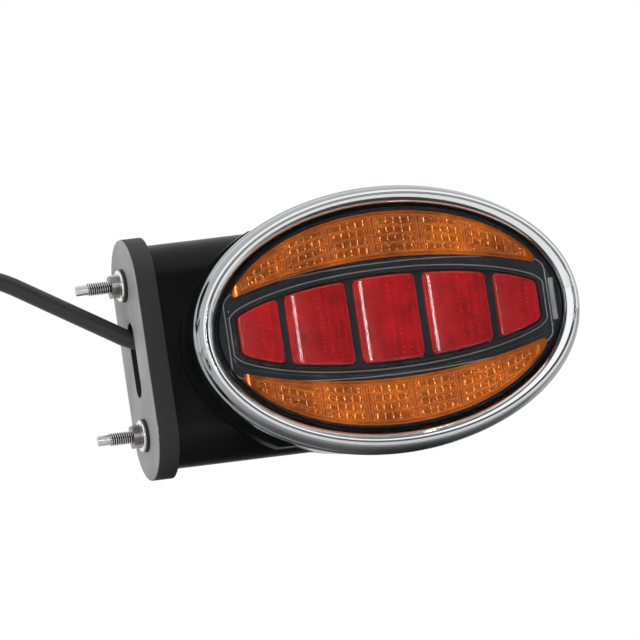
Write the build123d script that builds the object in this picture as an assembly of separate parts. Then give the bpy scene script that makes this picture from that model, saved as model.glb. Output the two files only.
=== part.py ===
from build123d import *
import math
import os

# Oval trailer lamp on a short side arm, with two mounting studs and a cable.
# Frame: origin at the centre of the pad's mounting face, +X out along the arm to the lamp, +Z up.
# The lamp's light face looks along -Y. All sizes are millimetres.

os.makedirs("parts", exist_ok=True)

# ---- mounting pad ----
PAD_HEIGHT = 109.0
PAD_DEPTH = 45.0
PAD_THICK = 9.7
PAD_RECESS = 3.5        # pocket that the arm's foot sits in
PAD_EDGE = 0.8          # rounding of the mounting face's rim
SLOT_HEIGHT = 34.0
SLOT_WIDTH = 9.6
ROUND_END = 0.1         # how far a rounded end stays short of a full half circle

# ---- arm ----
ARM_MARGIN = 4.0        # pad rim left round the arm
ARM_WALL = 3.0
FOOT_THICK = 4.0
COLLAR_REACH = 5.5      # collar round the bowl, measured forward of the arm's front face
COLLAR_LIP = 0.3        # collar's outline outside the bezel's
COLLAR_HEIGHT = 98.0
SEAT_GAP = 0.1          # moulded parts that slide into each other

# ---- oval lamp ----
LAMP_X = 106.3
OVAL_LENGTH = 178.6
OVAL_HEIGHT = 119.8
RIM_OUT = 40.0          # bowl's rim, in front of the arm's centre plane
BOWL_STEP = 0.8         # bezel overhangs the bowl by this much
BOWL_TAPER = 0.12       # inset per millimetre of depth
BOWL_WALL = 2.6
BOWL_EDGE = 6.0
VENT_PLACE = (20.0, -24.0)  # breather in the bowl's back, in the lamp's own X and Y
VENT_D = 6.0
VENT_FLANGE_D = 10.0
VENT_FLANGE_T = 0.8
VENT_STUB = 2.0
RIM_WIDTH = 7.8
RIM_THICK = 6.0
LEDGE_STEP = 2.2        # ledge for the mask, inside the rim
LEDGE_THICK = 2.0

# ---- bezel ring, heights above the rim ----
BEZEL_STEP_H = 5.5
BEZEL_STEP_IN = 0.8
BEZEL_CREST_H = 13.0
BEZEL_CREST_IN = 4.2
BEZEL_CREST_W = 0.8
BEZEL_FOOT_H = 7.0
BEZEL_FOOT_IN = 8.6
BEZEL_WALL = 1.6
TONGUE_IN = 2.3
TONGUE_WIDTH = 1.2
TONGUE_LENGTH = 3.8
TONGUE_GAP = 0.1
TONGUE_ROOT = 0.2        # how far the tongue runs up into the ring

# ---- outer lens ----
LENS_FLANGE_IN = 4.2
LENS_FLANGE_T = 2.2
LENS_WALL_IN = 9.0
LENS_WALL_T = 1.4
LENS_LEAN = 0.4         # how far the wall leans in over its height
LENS_APEX = 15.0
LENS_T = 2.2
DOME_R = 1040.0
LENS_SPIGOT = 2.0
EYE_RAISE = 1.2
EYE_HALF_LENGTH = 74.5
EYE_HALF_HEIGHT = 25.3
EYE_CORNER = 6.0
SEAL_IN = 5.0
SEAL_WIDTH = 2.0
SEAL_DEPTH = 1.6

# ---- mask with its coloured optics ----
MASK_H = 4.6            # back of the mask plate, above the rim
MASK_T = 2.0
MASK_SKIRT_T = 0.9
WINDOW_GAP = 0.15
BLOCK_FLANGE = 1.2
BLOCK_FLANGE_T = 1.6
BLOCK_TOP_H = 9.0
BLOCK_BULGE = 1.6
BLOCK_RIB = 3.2         # dark rib between two blocks
BLOCK_MID_WIDTH = 29.0
BLOCK_END = 69.3        # half length of the row of blocks
BLOCK_CURVE = (77.0, 19.2)  # half axes of the oval that bounds the row
BLOCK_CORNER = 2.5
AMBER_INSET = 12.0
AMBER_ARC_R = 248.0
AMBER_ARC_TOP = 27.0
AMBER_HALF_LENGTH = 70.0
AMBER_CORNER = 1.3
AMBER_TOP_H = 9.6

# ---- board, light boxes and LEDs ----
BOARD_DOWN = 19.0       # board's light side, below the rim
BOARD_T = 1.6
BOARD_INSET = 14.0
TRAY_WALL = 1.2
TRAY_GAP = 0.3
TRAY_WEB_H = 8.0
BOSS_D = 8.0
BOSS_ROOT = 0.5
BOARD_SCREW_X = 47.3
BOARD_SCREW_Z = 18.8
BOARD_SCREW_D = 2.9
BOARD_SCREW_L = 10.0
BOARD_HEAD_D = 4.4
BOARD_HEAD_H = 1.8
LED_SIZE = 3.5
LED_T = 1.3
LED_CORNER = 0.4
LED_ROWS = 0.38           # height of a block's LED rows, as a share of the block's half height

# ---- arm screws ----
ARM_SCREW_Y = 8.0
ARM_SCREW_Z = 20.0
ARM_SCREW_D = 4.0
ARM_SCREW_HEAD_D = 7.0
ARM_SCREW_HEAD_H = 2.8
ARM_SCREW_L = 20.0
ARM_BOSS_D = 10.0
ARM_SEAT_X = 36.0

# ---- studs, washers and nuts (M6) ----
STUD_SPACING = 68.0
STUD_D = 6.0
SHANK_D = 5.9
STUD_TIP_X = -22.1
TIP_LENGTH = 5.5
TIP_D = 5.2
FLUTE_LENGTH = 4.4
FLUTE_WIDTH = 1.0
STUD_HOLE_D = 6.6
HEX_HEAD_T = 4.0
HEX_ACROSS = 10.0
FLANGE_D = 14.2
FLANGE_T = 1.4
NUT_T = 5.4
WASHER_D = 15.0
WASHER_T = 1.2
NUT_BORE_GAP = 0.04     # radial running clearance on the thread
NUT_FREE = 0.8          # thread left clear beyond the nut before the full diameter starts

# ---- cable ----
CABLE_D = 8.0
CABLE_Z = 7.0
BEND_SHARE = 0.45        # part of the shorter run that each bend's arc takes up
GROMMET_D = 12.0
GROMMET_FLANGE_D = 15.0
GROMMET_FLANGE_T = 1.5
GROMMET_LENGTH = 13.0
BLOCK_SIZE = (14.0, 16.0)  # junction block along X and Z
BLOCK_FRONT_Y = -8.0
JOINT_X = 32.0          # inner end of the jacket, at the junction block
CORE_D = 1.8
CORE_PITCH = 2.4
CORE_COUNT = 5
CORE_TAIL = 32.0
FLOOR_Z = -60.0
COIL_R = 44.0           # middle of the turns
COIL_X = -162.0
COIL_Y = -12.0
COIL_WRAPS_WIDE = 2
TIE_T = 1.2
TIE_WIDTH = 4.5
CABLE_ROUTE = [
    (JOINT_X, 0, CABLE_Z),
    (6, 0, CABLE_Z),
    (-31.3, 0, 30.4),
    (-66, 0, 49),
    (-92, 5, 38),
    (-103, 13, 10),
    (-109, 22, -20),
    (-119, 29, -44),
    (-139, 32, FLOOR_Z + CABLE_D / 2),
    (COIL_X, 32, FLOOR_Z + CABLE_D / 2),
]

# ---- places worked out from the sizes above ----
ARM_DEPTH = PAD_DEPTH - 2 * ARM_MARGIN
ARM_HEIGHT = PAD_HEIGHT - 2 * ARM_MARGIN
ARM_X = PAD_THICK - PAD_RECESS
FOOT_X = ARM_X + FOOT_THICK
BOWL_DEEP = RIM_OUT + ARM_DEPTH / 2
RIM_IN = BOWL_STEP + RIM_WIDTH
MASK_INSET = RIM_IN + LEDGE_STEP
NUT_X = -WASHER_T - NUT_T
LAYER_RISE = CABLE_D * math.sqrt(0.75)  # a turn that lies in the groove between two others
FACE = Plane(origin=(LAMP_X, -RIM_OUT, 0), x_dir=(1, 0, 0), z_dir=(0, -1, 0))
STUD_HEIGHTS = (STUD_SPACING / 2, -STUD_SPACING / 2)


def write(name, *solids):
    """Save one node; several separate solids go out as one compound."""
    shapes = [s for part in solids for s in part.solids()]
    whole = shapes[0] if len(shapes) == 1 else Compound(children=shapes)
    whole.label = name
    export_step(whole, f"parts/{name}.step")


def lamp(shape):
    """Move a shape built in the lamp's own axes (X along, Y up, Z towards the viewer) into place."""
    return FACE.location * shape


def oval(inset):
    return Ellipse(OVAL_LENGTH / 2 - inset, OVAL_HEIGHT / 2 - inset)


def oval_block(inset, low, high):
    return Pos(0, 0, low) * extrude(oval(inset), high - low)


def oval_cone(inset_low, low, inset_high, high):
    return loft([Pos(0, 0, low) * oval(inset_low), Pos(0, 0, high) * oval(inset_high)], ruled=True)


def along_x(sketch, x0, x1):
    """Extrude a sketch drawn in Y and Z between two X places."""
    return extrude(Plane(origin=(x0, 0, 0), x_dir=(0, 1, 0), z_dir=(1, 0, 0)) * sketch, x1 - x0)


def rod_x(diameter, x0, x1, y=0.0, z=0.0):
    return along_x(Pos(y, z) * Circle(diameter / 2), x0, x1)


def hexagon_x(x0, x1, z):
    return along_x(Pos(0, z) * RegularPolygon(HEX_ACROSS / 2, 6, major_radius=False), x0, x1)


def round_ended(depth, height):
    return RectangleRounded(depth, height, depth / 2 - ROUND_END)


def bowl_cone(grow=0.0):
    """The bowl's outer shape as a full solid, optionally thinner all round by grow."""
    back = BOWL_STEP + BOWL_TAPER * BOWL_DEEP
    return oval_cone(back + grow, -BOWL_DEEP, BOWL_STEP + grow, 0)


def eye_sketch(half_length, half_height, corner):
    """Two shallow arcs with blunt rounded ends."""
    upper = Pos(0, half_height - AMBER_ARC_R) * Circle(AMBER_ARC_R)
    lower = Pos(0, AMBER_ARC_R - half_height) * Circle(AMBER_ARC_R)
    eye = upper & lower & Rectangle(2 * half_length, 4 * half_height)
    return fillet(eye.vertices(), corner)


def block_spans():
    """X range of each of the five blocks."""
    half = BLOCK_MID_WIDTH / 2
    inner = half + BLOCK_RIB
    outer = inner + BLOCK_MID_WIDTH
    last = outer + BLOCK_RIB
    return [
        (-BLOCK_END, -last),
        (-outer, -inner),
        (-half, half),
        (inner, outer),
        (last, BLOCK_END),
    ]


def block_sketch(span, grow=0.0):
    """One block's outline, grown or shrunk all round."""
    x0, x1 = span
    wide, high = BLOCK_CURVE
    box = Pos((x0 + x1) / 2, 0) * Rectangle(x1 - x0 + 2 * grow, 4 * high)
    shape = Ellipse(wide + grow, high + grow) & box
    return fillet(shape.vertices(), BLOCK_CORNER)


def crescent_outline(grow, inset):
    """The upper crescent with sharp tips: the lamp's oval above a shallow arc."""
    arc = Pos(0, AMBER_ARC_TOP - AMBER_ARC_R) * Circle(AMBER_ARC_R - grow)
    upper = Pos(0, OVAL_HEIGHT / 2) * Rectangle(2 * (AMBER_HALF_LENGTH + grow), OVAL_HEIGHT)
    return (oval(inset) & upper) - arc


def crescent_sketch(grow=0.0):
    shape = crescent_outline(grow, AMBER_INSET - grow)
    return fillet(shape.vertices(), AMBER_CORNER)


def flipped(sketch):
    return mirror(sketch, about=Plane.XZ)


def dome(apex):
    return Pos(0, 0, apex - DOME_R) * Sphere(DOME_R)


# ---- mounting side ----
def make_pad():
    body = along_x(round_ended(PAD_DEPTH, PAD_HEIGHT), 0, PAD_THICK)
    body = fillet(body.faces().sort_by(Axis.X)[0].outer_wire().edges(), PAD_EDGE)
    pocket = round_ended(ARM_DEPTH + 2 * SEAT_GAP, ARM_HEIGHT + 2 * SEAT_GAP)
    body -= along_x(pocket, ARM_X, PAD_THICK)
    body -= along_x(RectangleRounded(SLOT_WIDTH, SLOT_HEIGHT, SLOT_WIDTH / 2 - ROUND_END), 0, ARM_X)
    for z in STUD_HEIGHTS:
        body -= rod_x(STUD_HOLE_D, 0, ARM_X, 0, z)
    return body


def collar():
    """Raised band of the arm that wraps the bowl on the arm's side."""
    front = ARM_DEPTH / 2 + COLLAR_REACH
    low = ARM_DEPTH / 2 - ARM_WALL - RIM_OUT
    band = lamp(oval_block(-COLLAR_LIP, low, front - RIM_OUT))
    reach = along_x(Rectangle(2 * front, COLLAR_HEIGHT), FOOT_X, LAMP_X)
    return band & reach


def make_arm():
    body = along_x(round_ended(ARM_DEPTH, ARM_HEIGHT), ARM_X, LAMP_X) + collar()
    room = along_x(round_ended(ARM_DEPTH - 2 * ARM_WALL, ARM_HEIGHT - 2 * ARM_WALL), FOOT_X, LAMP_X)
    room -= lamp(bowl_cone(-ARM_WALL))
    for y in (-ARM_SCREW_Y, ARM_SCREW_Y):
        for z in (-ARM_SCREW_Z, ARM_SCREW_Z):
            room -= rod_x(ARM_BOSS_D, FOOT_X, LAMP_X, y, z)
            body -= rod_x(ARM_SCREW_D, ARM_SEAT_X - ARM_SCREW_L, LAMP_X, y, z)
    body -= room
    body -= lamp(bowl_cone())
    body -= along_x(RectangleRounded(SLOT_WIDTH, SLOT_HEIGHT, SLOT_WIDTH / 2 - ROUND_END), ARM_X, FOOT_X)
    body -= rod_x(GROMMET_D, FOOT_X, LAMP_X, 0, CABLE_Z)
    for z in STUD_HEIGHTS:
        body -= rod_x(STUD_HOLE_D, ARM_X, FOOT_X, 0, z)
    return body.solids().sort_by(SortBy.VOLUME)[-1]


def make_studs():
    """Hex-headed studs from inside the arm's foot, each with a fluted lead-in tip."""
    studs = []
    for z in STUD_HEIGHTS:
        head = hexagon_x(FOOT_X, FOOT_X + HEX_HEAD_T, z)
        shank = rod_x(SHANK_D, NUT_X - NUT_FREE, FOOT_X, 0, z)
        thread = rod_x(STUD_D, STUD_TIP_X + TIP_LENGTH, NUT_X - NUT_FREE, 0, z)
        tip = rod_x(TIP_D, STUD_TIP_X, STUD_TIP_X + TIP_LENGTH, 0, z)
        flute = Pos(STUD_TIP_X, 0, z) * Box(2 * FLUTE_LENGTH, TIP_D, FLUTE_WIDTH)
        cross = Pos(STUD_TIP_X, 0, z) * Box(2 * FLUTE_LENGTH, FLUTE_WIDTH, TIP_D)
        studs.append(head + shank + thread + (tip - flute - cross))
    return studs


def make_washer(z):
    ring = Circle(WASHER_D / 2) - Circle(STUD_D / 2 + NUT_BORE_GAP)
    return along_x(Pos(0, z) * ring, -WASHER_T, 0)


def make_nut(z):
    hexagon = hexagon_x(NUT_X, -WASHER_T, z)
    flange = rod_x(FLANGE_D, -WASHER_T - FLANGE_T, -WASHER_T, 0, z)
    nut = hexagon + flange
    return nut - rod_x(STUD_D + 2 * NUT_BORE_GAP, NUT_X, 0, 0, z)


# ---- lamp ----
def ring_groove(inset, width, depth):
    return oval_block(inset, -depth, 0) - oval_block(inset + width, -depth, 0)


def make_bowl():
    floor_in = BOWL_STEP + BOWL_TAPER * BOWL_DEEP + BOWL_WALL
    body = bowl_cone()
    body = fillet(body.faces().sort_by(Axis.Z)[0].edges(), BOWL_EDGE)
    room = oval_cone(floor_in, BOWL_WALL - BOWL_DEEP, BOWL_STEP + BOWL_WALL, 0)
    room &= oval_block(0, -BOWL_DEEP, -RIM_THICK)
    room -= oval_block(0, -RIM_THICK - 1, 0) - oval_block(MASK_INSET, -RIM_THICK - 1, 0)
    ledge_top = LEDGE_THICK - RIM_THICK
    room += oval_block(MASK_INSET, -RIM_THICK, ledge_top) + oval_block(RIM_IN, ledge_top, 0)
    body -= room
    body -= ring_groove(TONGUE_IN - TONGUE_GAP, TONGUE_WIDTH + 2 * TONGUE_GAP, TONGUE_LENGTH + TONGUE_GAP)
    body -= ring_groove(SEAL_IN, SEAL_WIDTH, SEAL_DEPTH)
    foot = BOWL_WALL - BOWL_DEEP
    top = -BOARD_DOWN - BOARD_T
    for x in (-BOARD_SCREW_X, BOARD_SCREW_X):
        for z in (-BOARD_SCREW_Z, BOARD_SCREW_Z):
            boss = Pos(x, z, foot - BOSS_ROOT) * extrude(Circle(BOSS_D / 2), top - foot + BOSS_ROOT)
            hole = Pos(x, z, top - BOARD_SCREW_L) * extrude(Circle(BOARD_SCREW_D / 2), BOARD_SCREW_L)
            body += boss
            body -= hole
    body -= Pos(*VENT_PLACE, -BOWL_DEEP) * extrude(Circle(VENT_D / 2), BOWL_WALL)
    whole = lamp(body)
    inside = lamp(bowl_cone(BOWL_WALL / 2))
    for y in (-ARM_SCREW_Y, ARM_SCREW_Y):
        for z in (-ARM_SCREW_Z, ARM_SCREW_Z):
            whole += rod_x(ARM_BOSS_D, ARM_X, ARM_SEAT_X, y, z) & inside
            whole -= rod_x(ARM_SCREW_D, ARM_X, ARM_SEAT_X, y, z)
    whole -= rod_x(GROMMET_D, ARM_X, JOINT_X, 0, CABLE_Z)
    return whole


def make_vent_plug():
    stem = extrude(Circle(VENT_D / 2), BOWL_WALL + VENT_STUB)
    flange = Pos(0, 0, -VENT_FLANGE_T) * extrude(Circle(VENT_FLANGE_D / 2), VENT_FLANGE_T)
    return lamp(Pos(*VENT_PLACE, -BOWL_DEEP) * (stem + flange))


def make_bezel():
    step = oval_cone(0, 0, BEZEL_STEP_IN, BEZEL_STEP_H)
    wall = oval_cone(2 * BEZEL_STEP_IN, BEZEL_STEP_H, BEZEL_CREST_IN, BEZEL_CREST_H)
    crest_in = BEZEL_CREST_IN + BEZEL_CREST_W
    bore = oval_block(BEZEL_FOOT_IN, 0, BEZEL_FOOT_H)
    bore += oval_cone(BEZEL_FOOT_IN, BEZEL_FOOT_H, crest_in, BEZEL_CREST_H)
    ring = step + wall - bore
    ring -= oval_block(LENS_FLANGE_IN - SEAT_GAP, 0, LENS_FLANGE_T)
    top = BEZEL_CREST_H - 2 * BEZEL_WALL
    hollow = oval_cone(TONGUE_IN, LENS_FLANGE_T + 1, BEZEL_CREST_IN, top)
    hollow -= oval_cone(BEZEL_FOOT_IN - BEZEL_WALL, LENS_FLANGE_T + 1, crest_in + 0.2, top)
    hollow += oval_block(LENS_FLANGE_IN, LENS_FLANGE_T, LENS_FLANGE_T + 1) - oval_block(
        BEZEL_FOOT_IN - BEZEL_WALL, LENS_FLANGE_T, LENS_FLANGE_T + 1
    )
    tongue = oval_block(TONGUE_IN, -TONGUE_LENGTH, TONGUE_ROOT)
    tongue -= oval_block(TONGUE_IN + TONGUE_WIDTH, -TONGUE_LENGTH, TONGUE_ROOT)
    return lamp(ring - hollow + tongue)


def make_lens():
    top = LENS_APEX + EYE_RAISE + 1
    wall = oval_cone(LENS_WALL_IN, 0, LENS_WALL_IN + LENS_LEAN, top)
    inner_in = LENS_WALL_IN + LENS_WALL_T
    room = oval_cone(inner_in, -LENS_SPIGOT, inner_in + LENS_LEAN, top) & dome(LENS_APEX - LENS_T)
    eye = Pos(0, 0, MASK_H) * extrude(eye_sketch(EYE_HALF_LENGTH, EYE_HALF_HEIGHT, EYE_CORNER), top)
    body = wall & dome(LENS_APEX)
    body += eye & dome(LENS_APEX + EYE_RAISE)
    body += oval_block(LENS_FLANGE_IN, 0, LENS_FLANGE_T)
    body += oval_block(RIM_IN + 2 * SEAT_GAP, -LENS_SPIGOT, 0)
    return lamp(body - room)


def make_seal():
    ring = oval_block(SEAL_IN + SEAT_GAP, -SEAL_DEPTH, 0)
    ring -= oval_block(SEAL_IN + SEAL_WIDTH - SEAT_GAP, -SEAL_DEPTH, 0)
    return lamp(ring)


def make_mask():
    skirt_in = MASK_INSET - SEAT_GAP
    foot_h = LEDGE_THICK - RIM_THICK
    body = oval_block(skirt_in, foot_h, MASK_H + MASK_T)
    body -= oval_block(skirt_in + MASK_SKIRT_T, foot_h, MASK_H)
    flange = oval_block(RIM_IN + 2 * SEAT_GAP, foot_h, -LENS_SPIGOT)
    body += flange - oval_block(skirt_in + MASK_SKIRT_T, foot_h, -LENS_SPIGOT)
    for span in block_spans():
        body -= Pos(0, 0, MASK_H) * extrude(block_sketch(span, WINDOW_GAP), MASK_T)
    for window in (crescent_sketch(WINDOW_GAP), flipped(crescent_sketch(WINDOW_GAP))):
        body -= Pos(0, 0, MASK_H) * extrude(window, MASK_T)
    return lamp(body)


def make_block(span):
    """A red optic: flanged behind the mask, its front bulging about a vertical axis."""
    x0, x1 = span
    half = (x1 - x0) / 2
    bend = (half**2 + BLOCK_BULGE**2) / (2 * BLOCK_BULGE)
    low = MASK_H - BLOCK_FLANGE_T
    body = Pos(0, 0, low) * extrude(block_sketch(span), BLOCK_TOP_H - low)
    drum = Pos((x0 + x1) / 2, 0, BLOCK_TOP_H - bend) * Rot(90, 0, 0) * Cylinder(bend, 3 * BLOCK_CURVE[1])
    if bend > BLOCK_TOP_H - low:
        body &= drum
    body += Pos(0, 0, low) * extrude(block_sketch(span, BLOCK_FLANGE), BLOCK_FLANGE_T)
    return lamp(body)


def make_amber(upper):
    low = MASK_H - BLOCK_FLANGE_T
    skirt_in = MASK_INSET + MASK_SKIRT_T
    body = Pos(0, 0, low) * extrude(crescent_sketch(), AMBER_TOP_H - low)
    flange = crescent_sketch(BLOCK_FLANGE) & oval(skirt_in)
    body += Pos(0, 0, low) * extrude(flange, BLOCK_FLANGE_T)
    return lamp(body if upper else mirror(body, about=Plane.XZ))


def make_tray():
    """White light boxes: walls round each block and each crescent, tied together by short webs."""
    low = -BOARD_DOWN
    high = MASK_H - BLOCK_FLANGE_T - TRAY_GAP
    wide, tall = BLOCK_CURVE
    row = Ellipse(wide + TRAY_WALL, tall + TRAY_WALL) & Rectangle(2 * (BLOCK_END + TRAY_WALL), 4 * tall)
    walls = row
    for span in block_spans():
        walls -= block_sketch(span)
    edge = MASK_INSET + MASK_SKIRT_T + SEAT_GAP
    crescent = crescent_outline(TRAY_WALL, edge) - crescent_outline(0, edge + TRAY_WALL)
    tall_part = Pos(0, 0, low) * extrude(walls, high - low)
    crescents = Pos(0, 0, low) * extrude(crescent, high - low)
    crescents += mirror(crescents, about=Plane.XZ)
    bars = Rectangle(TRAY_WALL, 2 * AMBER_ARC_TOP) - Rectangle(2 * TRAY_WALL, 2 * tall)
    web = Pos(0, 0, low) * extrude(bars, TRAY_WEB_H)
    return lamp(tall_part + crescents + web)


def make_board():
    plate = oval_block(BOARD_INSET, -BOARD_DOWN - BOARD_T, -BOARD_DOWN)
    for x in (-BOARD_SCREW_X, BOARD_SCREW_X):
        for z in (-BOARD_SCREW_Z, BOARD_SCREW_Z):
            plate -= Pos(x, z, -BOARD_DOWN - BOARD_T) * extrude(Circle(BOARD_SCREW_D / 2 + SEAT_GAP), BOARD_T)
    return lamp(plate)


def make_led(x, z):
    return lamp(Pos(x, z, -BOARD_DOWN) * extrude(RectangleRounded(LED_SIZE, LED_SIZE, LED_CORNER), LED_T))


def red_led_places():
    places = []
    for x0, x1 in block_spans():
        middle = (x0 + x1) / 2
        reach = (x1 - x0) / 4
        rise = BLOCK_CURVE[1] * LED_ROWS
        places += [(middle + sx * reach, sz * rise) for sx in (-1, 1) for sz in (-1, 1)]
    return places


def amber_led_places():
    places = []
    outer_x, outer_z = OVAL_LENGTH / 2 - AMBER_INSET, OVAL_HEIGHT / 2 - AMBER_INSET
    for i in range(-3, 4):
        x = i * AMBER_HALF_LENGTH / 4
        high = outer_z * math.sqrt(1 - (x / outer_x) ** 2)
        low = AMBER_ARC_TOP - AMBER_ARC_R + math.sqrt(AMBER_ARC_R**2 - x**2)
        places += [(x, (high + low) / 2), (x, -(high + low) / 2)]
    return places


def make_board_screw(x, z):
    shank = Pos(x, z, -BOARD_DOWN - BOARD_SCREW_L + 1) * extrude(Circle(BOARD_SCREW_D / 2), BOARD_SCREW_L - 1)
    head = Pos(x, z, -BOARD_DOWN) * extrude(Circle(BOARD_HEAD_D / 2), BOARD_HEAD_H)
    return lamp(shank + head)


def make_arm_screw(y, z):
    shank = rod_x(ARM_SCREW_D, ARM_SEAT_X - ARM_SCREW_L, ARM_SEAT_X, y, z)
    head = rod_x(ARM_SCREW_HEAD_D, ARM_SEAT_X, ARM_SEAT_X + ARM_SCREW_HEAD_H, y, z)
    return shank + head


# ---- cable ----
def make_grommet():
    end = JOINT_X - GROMMET_FLANGE_T
    sleeve = rod_x(GROMMET_D, JOINT_X - GROMMET_LENGTH, end, 0, CABLE_Z)
    flange = rod_x(GROMMET_FLANGE_D, end, JOINT_X, 0, CABLE_Z)
    return sleeve + flange - rod_x(CABLE_D, FOOT_X, JOINT_X, 0, CABLE_Z)


def make_junction():
    length, height = BLOCK_SIZE
    back_y = BOWL_DEEP - RIM_OUT - BOWL_WALL
    depth = back_y - BLOCK_FRONT_Y
    middle = (JOINT_X + length / 2, (BLOCK_FRONT_Y + back_y) / 2, CABLE_Z)
    return Pos(*middle) * Box(length, depth, height)


def core_heights():
    return [CABLE_Z + (i - (CORE_COUNT - 1) / 2) * CORE_PITCH for i in range(CORE_COUNT)]


def make_inner_cores():
    x = JOINT_X + BLOCK_SIZE[0] / 2
    board_back = BOARD_DOWN + BOARD_T - RIM_OUT
    rods = []
    for z in core_heights():
        start = Plane(origin=(x, BLOCK_FRONT_Y, z), x_dir=(1, 0, 0), z_dir=(0, -1, 0))
        rods.append(extrude(start * Circle(CORE_D / 2), BLOCK_FRONT_Y - board_back))
    return rods


def fillet_radii(points):
    radii = []
    for before, at, after in zip(points, points[1:], points[2:]):
        one = Vector(*at) - Vector(*before)
        two = Vector(*after) - Vector(*at)
        turn = math.radians(one.get_angle(two))
        radii.append(BEND_SHARE * min(one.length, two.length) / math.tan(turn / 2))
    return radii


def make_cable():
    radii = fillet_radii(CABLE_ROUTE)
    path = FilletPolyline(*CABLE_ROUTE, radius=radii)
    section = Plane(origin=CABLE_ROUTE[0], z_dir=(-1, 0, 0)) * Circle(CABLE_D / 2)
    tube = sweep(section, path=path)
    print("cable radii", [round(r, 1) for r in radii])
    filled = tube.volume / (path.length * section.area)
    print("cable length", round(path.length, 1), "volume ratio", round(filled, 5))
    return tube


def coil_middle():
    return (COIL_X, COIL_Y)


def make_coil():
    """Outer shape of the turns: two beside each other on the floor, one resting on them."""
    width = COIL_WRAPS_WIDE * CABLE_D
    height = CABLE_D + LAYER_RISE
    ring = extrude(Circle(COIL_R + width / 2) - Circle(COIL_R - width / 2), height)
    ring = fillet(ring.edges(), CABLE_D / 4)
    return Pos(*coil_middle(), FLOOR_Z) * ring


def make_coil_tie():
    width = COIL_WRAPS_WIDE * CABLE_D
    height = CABLE_D + LAYER_RISE
    x, y = coil_middle()
    opening = Pos(0, -TIE_T / 2) * Rectangle(width + 2 * SEAT_GAP, height)
    loop = Rectangle(width + 2 * (TIE_T + SEAT_GAP), height + TIE_T) - opening
    band = extrude(Plane.XZ * loop, TIE_WIDTH / 2, both=True)
    return Pos(x - COIL_R, y, FLOOR_Z + (height + TIE_T) / 2) * band


def make_cable_cores():
    x, y = coil_middle()
    z = FLOOR_Z + CABLE_D / 2 + LAYER_RISE
    rods = []
    for i in range(CORE_COUNT):
        side = y - COIL_R + (i - (CORE_COUNT - 1) / 2) * CORE_D
        rods.append(rod_x(CORE_D, x, x + CORE_TAIL, side, z))
    return rods


write("mounting_pad", make_pad())
write("arm", make_arm())
write("studs", *make_studs())
for name, z in zip(("upper", "lower"), STUD_HEIGHTS):
    write(f"washer_{name}", make_washer(z))
    write(f"nut_{name}", make_nut(z))
write("bowl", make_bowl())
write("vent_plug", make_vent_plug())
write("bezel", make_bezel())
write("outer_lens", make_lens())
write("lens_seal", make_seal())
write("mask", make_mask())
for number, span in enumerate(block_spans(), 1):
    write(f"red_block_{number}", make_block(span))
write("amber_upper", make_amber(True))
write("amber_lower", make_amber(False))
write("reflector_tray", make_tray())
write("circuit_board", make_board())
write("leds_red", *[make_led(x, z) for x, z in red_led_places()])
write("leds_amber", *[make_led(x, z) for x, z in amber_led_places()])
corners = [(x, z) for x in (-BOARD_SCREW_X, BOARD_SCREW_X) for z in (-BOARD_SCREW_Z, BOARD_SCREW_Z)]
write("board_screws", *[make_board_screw(x, z) for x, z in corners])
seats = [(y, z) for y in (-ARM_SCREW_Y, ARM_SCREW_Y) for z in (-ARM_SCREW_Z, ARM_SCREW_Z)]
write("arm_screws", *[make_arm_screw(y, z) for y, z in seats])
write("cable_grommet", make_grommet())
write("junction_block", make_junction())
write("inner_cores", *make_inner_cores())
write("cable_tube", make_cable())
write("cable_coil", make_coil())
write("coil_tie", make_coil_tie())
write("cable_cores", *make_cable_cores())
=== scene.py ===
# %% [markdown]
# # An oval trailer lamp on a short side arm
# The imported CAD model is loaded as a fixed frame. Everything here is in metres and in that frame:
# the mounting face lies in the plane X = 0, the arm runs along +X and the lamp looks along -Y.

# %% Load the frame
import math
import bpy
import bmesh
from mathutils import Matrix, Vector, noise


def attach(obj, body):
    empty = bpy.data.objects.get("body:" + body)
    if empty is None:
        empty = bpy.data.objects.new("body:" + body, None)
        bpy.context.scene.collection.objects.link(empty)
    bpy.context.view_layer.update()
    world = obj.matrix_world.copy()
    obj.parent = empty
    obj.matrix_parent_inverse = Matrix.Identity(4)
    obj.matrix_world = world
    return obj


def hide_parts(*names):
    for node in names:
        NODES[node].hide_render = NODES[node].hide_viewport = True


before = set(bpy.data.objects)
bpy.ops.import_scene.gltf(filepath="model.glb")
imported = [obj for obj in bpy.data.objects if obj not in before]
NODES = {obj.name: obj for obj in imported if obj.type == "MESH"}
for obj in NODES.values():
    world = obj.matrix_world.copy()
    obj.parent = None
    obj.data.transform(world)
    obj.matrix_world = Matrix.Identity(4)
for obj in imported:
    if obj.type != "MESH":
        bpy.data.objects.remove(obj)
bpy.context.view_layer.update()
MM = 0.001
print("CAD nodes:", len(NODES))

# %% [markdown]
# ## Camera
# A product shot taken from far away with a long lens, a little to the left of the light face and
# slightly below it, with the camera rolled so that the oval leans. A long lens keeps the far end of
# the oval as large as the near end. The lens follows from how many dots one millimetre takes.

# %% Camera
TURN_LEFT = math.radians(14.55)
LOOK_UP = math.radians(-5.79)
ROLL = math.radians(8.45)
DISTANCE = 8.0
DOTS_PER_METRE = 2230.0
FRAME_DOTS = 640.0
AIM = Vector((0.110, 0.0, 0.0))
AIM_OFF_CENTRE = (51.1, 11.7)

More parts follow.
